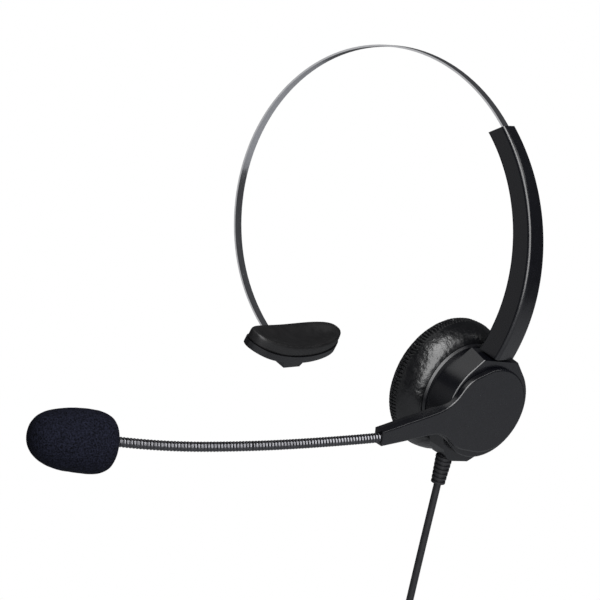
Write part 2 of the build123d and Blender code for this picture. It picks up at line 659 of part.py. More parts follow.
with BuildPart() as ear_cushion:
    with BuildSketch(CUP_PROFILE):
        with BuildLine():
            rear = Spline(
                (FLANGE_R, -HOUSING_BACK - 0.7), (25.6, -19.6), (28.2, -24.2), (CUSHION_R, -28.6),
            )
            face = Spline(
                rear @ 1, (27.6, -31.3), (23.6, -CUSHION_BACK), (18.4, -31.6), (RECESS_R, -28.2),
                tangents=[(0, -1), (0, 1)],
            )
            Polyline(
                face @ 1, (RECESS_R, -GRILLE_FRONT - GRILLE_T), (GRILLE_R, -GRILLE_FRONT - GRILLE_T),
                (GRILLE_R, -FLANGE_BACK), (FLANGE_R, -FLANGE_BACK), rear @ 0,
            )
        make_face()
    revolve(axis=CUP_AXIS)
save(ear_cushion, "ear_cushion")

# ======================= Strain relief =====================================================
RELIEF_AXIS_TOP = CUP.from_local_coords((RELIEF_X, RELIEF_TOP, -RELIEF_DEPTH))
RELIEF_PROFILE = Plane(origin=RELIEF_AXIS_TOP, x_dir=CUP.x_dir, z_dir=CUP.z_dir)
with BuildPart() as strain_relief:
    length = RELIEF_TOP - RELIEF_END
    pitch = (length - RELIEF_COLLAR) / RELIEF_RIBS
    with BuildSketch(RELIEF_PROFILE):
        with BuildLine():
            collar = BLOCK_LOW - RELIEF_TOP
            outline = [(0, RELIEF_ROOT), (RELIEF_NECK_R, RELIEF_ROOT), (RELIEF_NECK_R, collar)]
            outline.append((RELIEF_R[0], collar))
            for rib in range(RELIEF_RIBS):
                share = rib / (RELIEF_RIBS - 1)
                rib_r = RELIEF_R[0] + (RELIEF_R[1] - RELIEF_R[0]) * share
                start = -RELIEF_COLLAR - rib * pitch
                outline += [(rib_r, start), (rib_r - 0.7, start - 0.15), (rib_r - 0.7, start - 0.75)]
                outline.append((rib_r - 0.1, start - 0.9))
            outline += [(RELIEF_R[1] - 0.1, -length), (0, -length)]
            Polyline(*outline, close=True)
        make_face()
    revolve(axis=Axis(RELIEF_AXIS_TOP, CUP.y_dir))
save(strain_relief, "strain_relief")

# ======================= Boom: plate, cover, hub ===========================================
with BuildPart() as boom_blank:
    with BuildSketch(at_depth(BOOM_ARM_DEPTH)):
        with BuildLine():
            rim = CenterArc(BOOM_CENTRE, DISC_R, *DISC_ARC)
            top = Spline(rim @ 1, *BOOM_TOP, tangents=[rim % 1, (-1, -0.24)])
            low = Spline(*BOOM_LOW, rim @ 0, tangents=[(1, 0.12), rim % 0])
            Line(top @ 1, low @ 0)
        make_face()
    extrude(amount=BOOM_ARM_DEPTH)
    with BuildSketch(BOOM_PROFILE):
        with BuildLine():
            Polyline(
                (0, -PLATE_T), (ARM_RAMP_R[0], -PLATE_T), (ARM_RAMP_R[1], -BOOM_ARM_DEPTH),
                (0, -BOOM_ARM_DEPTH), close=True,
            )
        make_face()
    revolve(axis=BOOM_AXIS, mode=Mode.SUBTRACT)
    fillet(boom_blank.faces().sort_by(CUP_AXIS)[-1].edges(), BOOM_ROUND)

NECK_DIRECTIONS = []
for yaw, rise in zip(NECK_YAW, NECK_RISE):
    level = Vector(-sin(radians(yaw)), -cos(radians(yaw)), 0)
    NECK_DIRECTIONS.append(level * cos(radians(rise)) + Vector(0, 0, sin(radians(rise))))
SOCKET_POINT = CUP.from_local_coords(SOCKET)
ROOT_START = SOCKET_POINT - NECK_DIRECTIONS[0] * ROOT_L
TRENCH_END = CUP.to_local_coords(ROOT_START)

with BuildPart() as boom_trench:
    with BuildSketch(at_depth(BOOM_SPLIT)):
        trench_middle = ((BOOM_CENTRE[0] + TRENCH_END.X) / 2, (BOOM_CENTRE[1] + TRENCH_END.Y) / 2)
        SlotCenterPoint(trench_middle, (TRENCH_END.X, TRENCH_END.Y), 2 * TRENCH_R)
    extrude(amount=BOOM_SPLIT - TRENCH_FRONT)

with BuildPart() as gooseneck_bore:
    with BuildSketch(Plane(origin=ROOT_START, z_dir=NECK_DIRECTIONS[0])):
        Circle(NECK_TUBE_R)
    extrude(amount=ROOT_L + 4)

with BuildPart() as boom_front:
    with BuildSketch(at_depth(BOOM_SPLIT)):
        Rectangle(200, 200)
    extrude(amount=BOOM_SPLIT)

with BuildPart() as boom_plate:
    add(boom_blank.part)
    add(boom_front.part, mode=Mode.INTERSECT)
    add(gooseneck_bore.part, mode=Mode.SUBTRACT)
    add(boom_trench.part, mode=Mode.SUBTRACT)
save(boom_plate, "boom_plate")

with BuildPart() as boom_back_cover:
    add(boom_blank.part)
    add(boom_front.part, mode=Mode.SUBTRACT)
    add(gooseneck_bore.part, mode=Mode.SUBTRACT)
save(boom_back_cover, "boom_back_cover")

with BuildPart() as boom_hub:
    add(cup_disc(HUB_R, PLATE_T, HUB_BACK, HUB_BORE_R, BOOM_CENTRE))
save(boom_hub, "boom_hub")

with BuildPart() as hub_washer:
    add(cup_disc(WASHER_R, INNER_FRONT + WASHER_GAP, WASHER_BACK, HUB_R, BOOM_CENTRE))
save(hub_washer, "hub_washer")

with BuildPart() as hub_clip:
    add(cup_disc(CLIP_R, WASHER_BACK, WASHER_BACK + CLIP_T, HUB_R, BOOM_CENTRE))
save(hub_clip, "hub_clip")

# ======================= Gooseneck and microphone ==========================================
with BuildPart() as gooseneck_root:
    with BuildSketch(Plane(origin=ROOT_START, z_dir=NECK_DIRECTIONS[0])):
        Circle(NECK_TUBE_R)
    extrude(amount=ROOT_L - NECK_GAP_L)
save(gooseneck_root, "gooseneck_root")

# Each segment is one arc that turns from the direction at its start to the one at its end.
start = SOCKET_POINT
NECK_JOINTS = []
for index in range(3):
    first, last = NECK_DIRECTIONS[index], NECK_DIRECTIONS[index + 1]
    half_turn = radians(first.get_angle(last)) / 2
    chord = (first + last).normalized() * (NECK_SEGMENT_L * sin(half_turn) / half_turn)
    end = start + chord
    NECK_JOINTS.append(start)
    with BuildPart() as gooseneck_segment:
        with BuildLine():
            whole = TangentArc(start, end, tangent=first, mode=Mode.PRIVATE)
            trim_share = NECK_GAP_L / NECK_SEGMENT_L
            last_share = 1 - trim_share if index < 2 else 1
            ThreePointArc(whole @ trim_share, whole @ 0.5, whole @ last_share)
        with BuildSketch(Plane(origin=whole @ trim_share, z_dir=whole % trim_share)):
            Circle(NECK_TUBE_R)
        sweep()
    save(gooseneck_segment, f"gooseneck_{index + 1}")
    start = end
NECK_END = start
MIC_DIRECTION = NECK_DIRECTIONS[3]
MIC_PLANE = Plane(origin=NECK_END, z_dir=MIC_DIRECTION)
foam_side = Vector(0, 0, 1).cross(MIC_DIRECTION).normalized()
FOAM_ORIGIN = NECK_END - MIC_DIRECTION.cross(foam_side) * FOAM_DROP
FOAM_PROFILE = Plane(origin=FOAM_ORIGIN, x_dir=MIC_PLANE.x_dir, z_dir=MIC_PLANE.y_dir * -1)

with BuildPart() as mic_barrel:
    with BuildSketch(MIC_PLANE):
        Circle(MIC_BARREL_R)
    extrude(amount=MIC_BARREL_L)
    with BuildSketch(MIC_PLANE.offset(MIC_BARREL_L - CAPSULE_L)):
        Circle(CAPSULE_R)
    extrude(amount=CAPSULE_L, mode=Mode.SUBTRACT)
save(mic_barrel, "mic_barrel")

with BuildPart() as mic_capsule:
    with BuildSketch(MIC_PLANE.offset(MIC_BARREL_L - CAPSULE_L)):
        Circle(CAPSULE_R)
    extrude(amount=CAPSULE_L - 0.3)
save(mic_capsule, "mic_capsule")

with BuildPart() as windscreen:
    with BuildSketch(FOAM_PROFILE):
        with BuildLine():
            widest = (FOAM_R, FOAM_L * 0.34)
            back = Bezier((MIC_BARREL_R, 0), (FOAM_R * 0.8, 0), (FOAM_R, FOAM_L * 0.12), widest)
            nose = Bezier(back @ 1, (FOAM_R, FOAM_L * 0.78), (FOAM_R * 0.62, FOAM_L), (0, FOAM_L))
            Polyline(nose @ 1, (0, 0), back @ 0)
        make_face()
    revolve(axis=Axis(FOAM_ORIGIN, MIC_DIRECTION))
    with BuildSketch(MIC_PLANE):
        Circle(MIC_BARREL_R)
    extrude(amount=MIC_BARREL_L, mode=Mode.SUBTRACT)
save(windscreen, "windscreen")

# ======================= Cord: lead, coil, tie, plug =======================================
EXIT = CUP.from_local_coords((RELIEF_X, RELIEF_END, -RELIEF_DEPTH))
print("cord exit", EXIT, "along", CUP.y_dir * -1)
route = [Vector(*point) for point in ROUTE]
radii = []
for before, corner, after in zip(route, route[1:], route[2:]):
    run_in, run_out = corner - before, after - corner
    half_turn = radians(run_in.get_angle(run_out)) / 2
    radii.append(0.45 * min(run_in.length, run_out.length) / tan(half_turn))
print("cord radii", [round(radius, 1) for radius in radii])

with BuildPart() as cord_lead:
    with BuildLine() as lead_path:
        FilletPolyline(*route, radius=radii)
    with BuildSketch(Plane(origin=route[0], z_dir=route[1] - route[0])):
        Circle(CORD_D / 2)
    sweep()
save(cord_lead, "cord_lead")
lead_length = sum(edge.length for edge in lead_path.edges())
expected = pi * (CORD_D / 2) ** 2 * lead_length
print("lead length", round(lead_length, 1), "volume share", round(cord_lead.part.volume / expected, 4))

COIL_CENTRE = Vector(*ROUTE[-1]) + Vector(COIL_R, 0, 0)
COIL_PROFILE = Plane(origin=COIL_CENTRE, x_dir=(1, 0, 0), z_dir=(0, 0, 1))
COIL_AXIS = Axis(COIL_CENTRE, (0, 1, 0))
with BuildPart() as cord_coil:
    with BuildSketch(COIL_PROFILE):
        with Locations((COIL_R, 0)):
            RectangleRounded(COIL_SECTION, COIL_SECTION, COIL_CORNER)
    revolve(axis=COIL_AXIS)
save(cord_coil, "cord_coil")

with BuildPart() as cord_tie:
    with BuildSketch(Plane(origin=COIL_CENTRE, x_dir=(0, 0, 1), z_dir=(-1, 0, 0))):
        with Locations((COIL_R, 0)):
            RectangleRounded(COIL_SECTION + 2 * TIE_T, COIL_SECTION + 2 * TIE_T, COIL_CORNER + TIE_T)
            RectangleRounded(COIL_SECTION, COIL_SECTION, COIL_CORNER, mode=Mode.SUBTRACT)
    revolve(axis=COIL_AXIS, revolution_arc=TIE_ANGLE)
save(cord_tie, "cord_tie")

tail = [Vector(*point) for point in TAIL]
tail_radii = []
for before, corner, after in zip(tail, tail[1:], tail[2:]):
    run_in, run_out = corner - before, after - corner
    half_turn = radians(run_in.get_angle(run_out)) / 2
    tail_radii.append(0.45 * min(run_in.length, run_out.length) / tan(half_turn))
print("tail radii", [round(radius, 1) for radius in tail_radii])
with BuildPart() as cord_tail:
    with BuildLine():
        FilletPolyline(*tail, radius=tail_radii)
    with BuildSketch(Plane(origin=tail[0], z_dir=tail[1] - tail[0])):
        Circle(CORD_D / 2)
    sweep()
save(cord_tail, "cord_tail")

PLUG_TOP = tail[-1]
PLUG_AXIS = Axis(PLUG_TOP, (0, 0, -1))
PLUG_PROFILE = Plane(origin=PLUG_TOP, x_dir=(1, 0, 0), z_dir=(0, -1, 0))
with BuildPart() as plug_barrel:
    with BuildSketch(PLUG_PROFILE):
        with BuildLine():
            Polyline(
                (0, 0), (PLUG_SLEEVE_R, 0), (PLUG_SLEEVE_R + 0.2, -PLUG_SLEEVE_L),
                (PLUG_BARREL_R - 0.2, -PLUG_SLEEVE_L - 1.5), (PLUG_BARREL_R, -PLUG_SLEEVE_L - 2.5),
                (PLUG_BARREL_R, -PLUG_BARREL_L + 0.6), (PLUG_BARREL_R - 0.6, -PLUG_BARREL_L),
                (0, -PLUG_BARREL_L), close=True,
            )
        make_face()
    revolve(axis=PLUG_AXIS)
save(plug_barrel, "plug_barrel")

with BuildPart() as plug_insulators:
    for place in PLUG_RINGS:
        with BuildSketch(Plane(origin=PLUG_TOP - Vector(0, 0, PLUG_BARREL_L + place), z_dir=(0, 0, -1))):
            Circle(PLUG_PIN_R)
            Circle(PLUG_CORE_R, mode=Mode.SUBTRACT)
        extrude(amount=PLUG_RING_L)
save(plug_insulators, "plug_insulators")

plug_end = -PLUG_BARREL_L - PLUG_PIN_L
with BuildPart() as plug_contacts:
    with BuildSketch(PLUG_PROFILE):
        with BuildLine():
            Polyline(
                (0, -PLUG_BARREL_L), (PLUG_PIN_R, -PLUG_BARREL_L), (PLUG_PIN_R, plug_end + PLUG_GROOVE[0]),
                (PLUG_GROOVE[1], plug_end + PLUG_GROOVE[0] - 0.8), (PLUG_TIP[1], plug_end + PLUG_TIP[0]),
                (PLUG_TIP[2], plug_end), (0, plug_end), close=True,
            )
        make_face()
    revolve(axis=PLUG_AXIS)
    add(plug_insulators.part, mode=Mode.SUBTRACT)
save(plug_contacts, "plug_contacts")

print("size hinge centre", side(BAND_CENTRE))
print("cup hinge", side(HINGE), "boom origin", BOOM_ORIGIN, "boom axis", cup_out, "cup up", CUP.y_dir)
print("pad pin", side(PAD_PIN))
print("neck joints", NECK_JOINTS, "neck end", NECK_END, "along", MIC_DIRECTION)
print("plug tip", PLUG_TOP - Vector(0, 0, PLUG_BARREL_L + PLUG_PIN_L))
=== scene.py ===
# Office headset for one ear, in the CAD model's frame. Metres, +Z up, origin at the crown,
# +X towards the ear cup, and the wearer faces -Y. Sizes of the headset's pieces are in
# millimetres until mm() or MM makes metres of them.
import json
from math import cos, exp, pi, radians, sin, sqrt

import bpy
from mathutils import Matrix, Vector, noise


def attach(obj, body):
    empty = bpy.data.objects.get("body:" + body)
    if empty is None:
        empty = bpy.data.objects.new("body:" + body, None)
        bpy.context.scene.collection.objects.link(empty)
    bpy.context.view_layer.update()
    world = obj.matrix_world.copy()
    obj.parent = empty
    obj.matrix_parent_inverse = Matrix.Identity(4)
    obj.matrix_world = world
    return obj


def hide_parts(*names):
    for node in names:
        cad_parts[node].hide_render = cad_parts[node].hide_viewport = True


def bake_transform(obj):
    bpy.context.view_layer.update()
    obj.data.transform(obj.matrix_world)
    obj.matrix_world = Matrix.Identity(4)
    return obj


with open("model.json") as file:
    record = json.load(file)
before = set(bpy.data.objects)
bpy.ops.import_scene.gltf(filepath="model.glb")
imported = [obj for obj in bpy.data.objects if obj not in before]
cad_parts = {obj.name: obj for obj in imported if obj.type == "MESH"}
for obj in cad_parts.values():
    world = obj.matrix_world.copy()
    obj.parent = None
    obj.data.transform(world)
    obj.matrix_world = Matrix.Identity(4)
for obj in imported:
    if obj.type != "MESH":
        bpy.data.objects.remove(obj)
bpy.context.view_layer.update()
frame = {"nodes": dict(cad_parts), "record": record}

MM = 0.001
NODES = frame["nodes"]
UPWARD = Vector((0, 0, 1))


def mm(*values):
    """A point given in millimetres."""
    return Vector(values) * MM


def add_object(name, data):
    """A new object in the scene."""
    made = bpy.data.objects.new(name, data)
    bpy.context.scene.collection.objects.link(made)
    return made


# ---------------------------------------------------------------- the ear cup's own frame
CUP_ORIGIN = mm(59.8, -4.1, -150.1)
CUP_TILT = radians(19.3)
CUP_SWIVEL = radians(13)
CUP_OUT = Vector((cos(CUP_TILT) * cos(CUP_SWIVEL), -cos(CUP_TILT) * sin(CUP_SWIVEL), -sin(CUP_TILT)))
CUP_REAR = Vector((sin(CUP_SWIVEL), cos(CUP_SWIVEL), 0))
CUP_UP = CUP_OUT.cross(CUP_REAR)


def cup_point(rear, up, depth):
    """A point in the cup's own frame, in millimetres, with depth measured inward."""
    return CUP_ORIGIN + (CUP_REAR * rear + CUP_UP * up - CUP_OUT * depth) * MM


# ---------------------------------------------------------------- camera
BAND_R = 76.0                    # the strip's circle, which is centred this far below the crown
CAMERA_AZIMUTH = radians(36)
CAMERA_RISE = radians(1)
CAMERA_REACH = 1.1
AIM_LEFT = 0.0329
AIM_BELOW = 0.0311
LENS = 155.7
SENSOR = 36
CLIP_NEAR, CLIP_FAR = 0.05, 20

target = mm(0, 0, -BAND_R)
right = Vector((cos(CAMERA_AZIMUTH), sin(CAMERA_AZIMUTH), 0))
back = Vector((sin(CAMERA_AZIMUTH) * cos(CAMERA_RISE), -cos(CAMERA_AZIMUTH) * cos(CAMERA_RISE),
               sin(CAMERA_RISE)))
above = back.cross(right)
aim = target - right * AIM_LEFT - above * AIM_BELOW
camera_data = bpy.data.cameras.new("camera")
camera_data.lens = LENS
camera_data.sensor_width = SENSOR
camera_data.clip_start = CLIP_NEAR
camera_data.clip_end = CLIP_FAR
camera = add_object("camera", camera_data)
camera.location = target + back * CAMERA_REACH
camera.rotation_euler = (camera.location - aim).to_track_quat("Z", "Y").to_euler()
bpy.context.scene.camera = camera
bpy.context.scene.view_settings.view_transform = "Standard"

# ---------------------------------------------------------------- materials
MIX_A, MIX_B, MIX_RESULT = 6, 7, 2          # a colour mix's sockets, by number
NOISE_LOW, NOISE_HIGH = 0.3, 0.7            # the part of a noise's range that it mostly keeps to
FINE_DETAIL = 3
FINE_RATIO = 4
FINISH = {}


def ramp(tree, value, low, high):
    """Spreads a noise over the range from low to high."""
    spread = tree.nodes.new("ShaderNodeMapRange")
    spread.inputs["From Min"].default_value = NOISE_LOW
    spread.inputs["From Max"].default_value = NOISE_HIGH
    spread.inputs["To Min"].default_value = low
    spread.inputs["To Max"].default_value = high
    tree.links.new(value, spread.inputs["Value"])
    return spread.outputs["Result"]


def object_place(tree, stretch=(1, 1, 1)):
    """The object's own coordinates, stretched along its axes."""
    place = tree.nodes.new("ShaderNodeTexCoord")
    mapping = tree.nodes.new("ShaderNodeMapping")
    mapping.inputs["Scale"].default_value = stretch
    tree.links.new(place.outputs["Object"], mapping.inputs["Vector"])
    return mapping.outputs["Vector"]


def noise_of(tree, place, scale, detail):
    """The value of a noise texture."""
    texture = tree.nodes.new("ShaderNodeTexNoise")
    texture.inputs["Scale"].default_value = scale
    texture.inputs["Detail"].default_value = detail
    tree.links.new(place, texture.inputs["Vector"])
    return texture.outputs["Fac"]


def lift_surface(tree, height, strength, depth):
    """Lifts a finish by a height, on top of what lifts it already."""
    normal = tree.nodes["Principled BSDF"].inputs["Normal"]
    lift = tree.nodes.new("ShaderNodeBump")
    lift.inputs["Strength"].default_value = strength
    lift.inputs["Distance"].default_value = depth
    tree.links.new(height, lift.inputs["Height"])
    if normal.is_linked:
        tree.links.new(normal.links[0].from_socket, lift.inputs["Normal"])
    tree.links.new(lift.outputs["Normal"], normal)


def surface(name, dark, light, rough, grain, bump, depth, fine=None, metal=0.0, specular=0.5, sheen=0.0,
            detail=6.0, stretch=(1, 1, 1)):
    """A procedural finish: colour and roughness vary with one grain, and a finer one lifts it."""
    made = bpy.data.materials.new(name)
    made.use_nodes = True
    tree = made.node_tree
    shader = tree.nodes["Principled BSDF"]
    shader.inputs["Metallic"].default_value = metal
    shader.inputs["Specular IOR Level"].default_value = specular
    shader.inputs["Sheen Weight"].default_value = sheen
    place = object_place(tree, stretch)
    broad = noise_of(tree, place, grain, detail)
    mix = tree.nodes.new("ShaderNodeMix")
    mix.data_type = "RGBA"
    mix.inputs[MIX_A].default_value = (*dark, 1)
    mix.inputs[MIX_B].default_value = (*light, 1)
    tree.links.new(ramp(tree, broad, 0, 1), mix.inputs["Factor"])
    tree.links.new(mix.outputs[MIX_RESULT], shader.inputs["Base Color"])
    tree.links.new(ramp(tree, broad, *rough), shader.inputs["Roughness"])
    lift_surface(tree, noise_of(tree, place, fine or grain * FINE_RATIO, FINE_DETAIL), bump, depth)
    FINISH[name] = made
    return made


def add_cells(made, scale, strength, depth):
    """Lifts a finish by rounded cells: leather's grain or a foam's pores."""
    tree = made.node_tree
    cells = tree.nodes.new("ShaderNodeTexVoronoi")
    cells.inputs["Scale"].default_value = scale
    tree.links.new(object_place(tree), cells.inputs["Vector"])
    lift_surface(tree, cells.outputs["Distance"], strength, depth)


def add_threads(made, direction, scale, strength, depth):
    """Lifts a finish by straight threads that repeat along one axis."""
    tree = made.node_tree
    threads = tree.nodes.new("ShaderNodeTexWave")
    threads.wave_type = "BANDS"
    threads.bands_direction = direction
    threads.inputs["Scale"].default_value = scale
    tree.links.new(object_place(tree), threads.inputs["Vector"])
    lift_surface(tree, threads.outputs["Fac"], strength, depth)


# The arm, cup and boom have a satin plastic outside. The pieces behind them, the temple pad's
# carrier and the microphone have a duller one.
surface("satin_plastic", (0.0009, 0.0010, 0.0019), (0.0015, 0.0016, 0.0027), (0.25, 0.28),
        grain=300, fine=2200, bump=0.01, depth=4e-6, specular=0.48)
surface("black_plastic", (0.0010, 0.0011, 0.0019), (0.0017, 0.0018, 0.0028), (0.34, 0.40),
        grain=400, fine=2200, bump=0.02, depth=5e-6, specular=0.48)

# The strip is bright steel, with faint streaks along its length.
surface("band_steel", (0.66, 0.66, 0.68), (0.78, 0.78, 0.80), (0.10, 0.18),
        grain=260, fine=3000, bump=0.05, depth=2e-5, metal=1, stretch=(1, 6, 1))
surface("pin_steel", (0.40, 0.40, 0.42), (0.58, 0.58, 0.60), (0.22, 0.34),
        grain=900, bump=0.08, depth=2e-5, metal=1)
surface("gooseneck_metal", (0.055, 0.055, 0.059), (0.095, 0.095, 0.102), (0.20, 0.30),
        grain=1500, bump=0.1, depth=2e-5, metal=1)

# Soft pieces
surface("soft_rubber", (0.0022, 0.0021, 0.0024), (0.0036, 0.0034, 0.0038), (0.46, 0.54),
        grain=300, fine=2200, bump=0.04, depth=1e-5, specular=0.42)
leatherette = surface("leatherette", (0.0008, 0.0009, 0.0013), (0.0014, 0.0015, 0.0020), (0.27, 0.34),
                      grain=260, fine=620, bump=0.8, depth=2.8e-4, specular=0.47)
add_cells(leatherette, scale=1500, strength=0.22, depth=8e-5)
foam = surface("foam", (0.0001, 0.0001, 0.0003), (0.0082, 0.0090, 0.0165), (0.9, 1.0),
               grain=1500, fine=2200, bump=0.8, depth=3e-4, detail=3, specular=0.05)
add_cells(foam, scale=1900, strength=0.6, depth=3e-4)
scrim_cloth = surface("scrim_cloth", (0.008, 0.008, 0.008), (0.028, 0.028, 0.029), (0.85, 1.0),
                      grain=1800, fine=2600, bump=0.5, depth=1.2e-4, specular=0.2, sheen=0.2)
for direction in "YZ":
    add_threads(scrim_cloth, direction, scale=700, strength=0.7, depth=2e-4)

# Inside the cup
surface("driver_frame", (0.05, 0.05, 0.055), (0.09, 0.09, 0.10), (0.3, 0.45),
        grain=800, bump=0.1, depth=2e-5, metal=0.6)
surface("magnet", (0.25, 0.25, 0.26), (0.36, 0.36, 0.37), (0.25, 0.4),
        grain=900, bump=0.1, depth=2e-5, metal=1)
surface("driver_cone", (0.03, 0.03, 0.034), (0.06, 0.06, 0.066), (0.3, 0.45),
        grain=700, bump=0.1, depth=3e-5)
surface("circuit_board", (0.006, 0.07, 0.03), (0.012, 0.12, 0.05), (0.25, 0.4),
        grain=700, bump=0.1, depth=2e-5)

# Cord, its tie and its plug
surface("cord_jacket", (0.0050, 0.0050, 0.0060), (0.0085, 0.0085, 0.0100), (0.36, 0.44),
        grain=300, fine=2200, bump=0.02, depth=1e-5, specular=0.34)
surface("tie_strap", (0.012, 0.012, 0.013), (0.022, 0.022, 0.023), (0.6, 0.8),
        grain=900, fine=2400, bump=0.5, depth=1e-4)
surface("plug_gold", (0.75, 0.52, 0.20), (0.90, 0.66, 0.28), (0.14, 0.24),
        grain=800, bump=0.04, depth=1e-5, metal=1)
surface("plug_insulator", (0.012, 0.012, 0.012), (0.02, 0.02, 0.02), (0.25, 0.35),
        grain=700, bump=0.05, depth=1e-5)

for part in frame["record"]["subparts"]:
    data = NODES[part["node"]].data
    data.materials.clear()
    data.materials.append(FINISH[part["material_slot"]])


# ---------------------------------------------------------------- mesh helpers
def mesh_object(name, points, faces, slot):
    """A smooth piece in the finish of its material slot."""
    data = bpy.data.meshes.new(name)
    data.from_pydata([tuple(point) for point in points], [], faces)
    data.validate()
    data.materials.append(FINISH[slot])
    for face in data.polygons:
        face.use_smooth = True
    piece = add_object(name, data)
    return piece


def angles(around):
    """Even angles round a full turn, in radians."""
    return [2 * pi * step / around for step in range(around)]


def ring_faces(rings, around, closed=False):
    """Quads between successive rings of the same number of points."""
    faces = []
    for ring in range(rings if closed else rings - 1):
        low, high = ring * around, (ring + 1) % rings * around
        for step in range(around):
            beside = (step + 1) % around
            faces.append((low + step, low + beside, high + beside, high + step))
    return faces


def ring_cap(first, around):
    """One face that closes a ring of points, which starts at the point numbered first."""
    return tuple(range(first, first + around))


def first_cap(around):
    """The same for the first ring, which faces the other way."""
    return ring_cap(0, around)[::-1]


def smooth_line(points, steps):
    """A Catmull-Rom line through the points."""
    line = []
    for index in range(len(points) - 1):
        before = points[max(index - 1, 0)]
        a, b = points[index], points[index + 1]
        after = points[min(index + 2, len(points) - 1)]
        for step in range(steps):
            t = step / steps
            line.append(tuple(
                0.5 * (2 * a[k] + (b[k] - before[k]) * t
                       + (2 * before[k] - 5 * a[k] + 4 * b[k] - after[k]) * t * t
                       + (3 * a[k] - before[k] - 3 * b[k] + after[k]) * t ** 3) for k in range(2)))
    line.append(tuple(points[-1]))
    return line


def bezier(a, b, c, d, steps):
    """A cubic curve from a to d, in a plane."""
    line = []
    for step in range(steps + 1):
        t = step / steps
        line.append(tuple(a[k] * (1 - t) ** 3 + 3 * b[k] * t * (1 - t) ** 2 + 3 * c[k] * t * t * (1 - t)
                          + d[k] * t ** 3 for k in range(2)))
    return line


def layered_noise(place, layers):
    """Noise of several strengths and scales, added up."""
    return sum(strength * noise.noise(place * scale) for strength, scale in layers)


# ---------------------------------------------------------------- cord
CORD_D = 3.2
LEAD = [(36.825, -8.032, -181.244), (23.5, -5.0, -221.0), (12.6, -3.2, -258.0), (5.4, 1.2, -279.0)]
TAIL = [(1.6, -7.8, -300.0), (4.6, -7.4, -310.0), (9.4, -6.7, -320.0), (10.4, -6.6, -328.0)]
COIL_X, COIL_Y, COIL_Z = 27.6, -3.0, -292.0
COIL_R = 17.6
COIL_START = 180                 # degrees, as are the coil's other angles
COIL_SIDE = 4                    # the coil is this many turns wide and as many deep
POINTS_PER_TURN = 16
CURVE_SHRINK = 0.981             # the spline's radius over that of its control points
JOG = 25.0                       # half the angle in which the cord crosses to its next turn
JOG_EARLY = 30                   # a crossing comes this much before the turn is full,
CORNER_EARLY = 60                # and this much earlier again each time that it changes direction


def coil_turns():
    """Each turn's place in the coil's section, back and forth: outward offset, then along the axis.
    The last one is outside the others, where the cord leaves the coil."""
    middle = (COIL_SIDE - 1) / 2
    turns = []
    for column in range(COIL_SIDE):
        rows = range(COIL_SIDE) if column % 2 == 0 else reversed(range(COIL_SIDE))
        turns += [((middle - row) * CORD_D, (middle - column) * CORD_D) for row in rows]
    return turns + [(turns[-1][0] + CORD_D, turns[-1][1])]


def coil_jogs(turns):
    """The angle at the middle of each crossing from one turn to the next."""
    jogs, early = [], 0
    for index in range(len(turns) - 1):
        for way in range(2):
            moves = turns[index + 1][way] != turns[index][way]
            moved = turns[index][way] != turns[index - 1][way]
            if index and moves and not moved:
                early += CORNER_EARLY
        jogs.append(360 * (index + 1) - early - JOG_EARLY)
    return jogs


def coil_points():
    """The coil's control points, in millimetres."""
    turns = coil_turns()
    jogs = coil_jogs(turns)
    points = []
    turned = 0.0
    while turned <= jogs[-1] + JOG:
        offset = Vector(turns[0])
        for index, at in enumerate(jogs):
            t = min(max((turned - at + JOG) / (2 * JOG), 0), 1)
            offset += (Vector(turns[index + 1]) - Vector(turns[index])) * (t * t * (3 - 2 * t))
        angle = radians(COIL_START + turned)
        reach = (COIL_R + offset.x) / CURVE_SHRINK
        points.append((COIL_X + reach * cos(angle), COIL_Y + offset.y, COIL_Z + reach * sin(angle)))
        turned += 360 / POINTS_PER_TURN
    return points


route = LEAD + coil_points() + TAIL
curve = bpy.data.curves.new("cord", "CURVE")
curve.dimensions = "3D"
line = curve.splines.new("NURBS")
line.points.add(len(route) - 1)
for point, place in zip(line.points, route):
    point.co = (*mm(*place), 1)
line.order_u = 3
line.use_endpoint_u = True
line.resolution_u = 6
curve.bevel_depth = CORD_D / 2 * MM
curve.bevel_resolution = 4
curve.use_fill_caps = True
curve.materials.append(FINISH["cord_jacket"])
cord = add_object("cord", curve)
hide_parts("cord_lead", "cord_coil", "cord_tail")
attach(cord, "ear_cup")

# ---------------------------------------------------------------- gooseneck
BOOM_TIP = cup_point(-57.0, -10.0, 2.6)
SEGMENT_L = 38.6
TUBE_R = 2.0
ROOT_IN_ARM = 8.8                # the tube's length inside the boom arm
TUBE_IN_MIC = 1.0
NECK_AROUND = 28
# The tube's direction at each joint and at the microphone, in degrees from straight ahead and level
YAWS = (17.0, 20.0, 23.5, 27.0)
RISES = (-1.0, 0.2, 2.6, 8.8)
RING_PITCH = 1.4
RING_STEPS = 8
RING_H = 0.38
RING_ROUND = 0.45                # the power that makes a ring fuller than the groove beside it
BLEND_REACH = 15                 # how far a bend would spread each side of its joint; no piece here is bent by it

directions = []
for yaw, rise in zip(YAWS, RISES):
    level = Vector((-sin(radians(yaw)), -cos(radians(yaw)), 0))
    directions.append(level * cos(radians(rise)) + Vector((0, 0, sin(radians(rise)))))


def arc_point(start, first, last, share):
    """A point and direction along an arc that turns evenly from one direction to the next."""
    angle = first.angle(last)
    side = (last - first * first.dot(last)).normalized()
    radius = SEGMENT_L * MM / angle
    turn = angle * share
    place = start + (first * sin(turn) + side * (1 - cos(turn))) * radius
    return place, first * cos(turn) + side * sin(turn)


joints = [BOOM_TIP]
for index in range(3):
    joints.append(arc_point(joints[-1], directions[index], directions[index + 1], 1)[0])


def neck_point(distance):
    """A point and direction on the gooseneck's centreline; distance is from the boom arm's tip."""
    if distance <= 0:
        return joints[0] + directions[0] * distance * MM, directions[0]
    index = min(int(distance / SEGMENT_L), 2)
    return arc_point(joints[index], directions[index], directions[index + 1], distance / SEGMENT_L - index)


